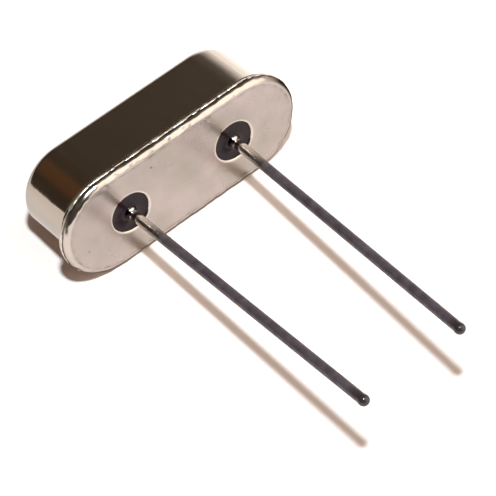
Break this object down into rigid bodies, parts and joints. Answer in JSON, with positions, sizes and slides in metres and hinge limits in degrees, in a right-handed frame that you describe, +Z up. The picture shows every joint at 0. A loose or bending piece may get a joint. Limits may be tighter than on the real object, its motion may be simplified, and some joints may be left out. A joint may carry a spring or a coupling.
{
  "type": "quartz crystal unit",
  "caption": "Low-profile quartz crystal in a welded nickel-plated can of stadium outline, with wire leads in dark glass seals, lying on its side.",
  "frame": {"origin": "on the floor, under the middle of the bounding box of the unit as it lies", "axes": "+X along the can's long side, from the left lead to the right one; +Y from the lead tips to the closed end of the can; +Z up from the floor. The leads rise towards -Y by the angle at which flange and closed end both touch the floor"},
  "size_m": [0.0108, 0.0168, 0.0043],
  "materials": {
    "plated_can": "polished nickel plate",
    "plated_base": "satin nickel plate",
    "seal_glass": "dark fused glass",
    "tinned_wire": "dull tin over drawn wire",
    "clip_metal": "stamped strip",
    "quartz": "lapped and polished",
    "silver_film": "evaporated silver",
    "conductive_adhesive": "silver-filled"
  },
  "bodies": {
    "root": {"cover": "plated_can", "base_plate": "plated_base", "glass_seal_left": "seal_glass", "glass_seal_right": "seal_glass", "lead_left": "tinned_wire", "lead_right": "tinned_wire", "support_clip_left": "clip_metal", "support_clip_right": "clip_metal", "quartz_blank": "quartz", "electrode_upper": "silver_film", "electrode_lower": "silver_film", "adhesive_left": "conductive_adhesive", "adhesive_right": "conductive_adhesive"}
  },
  "joints": []
}
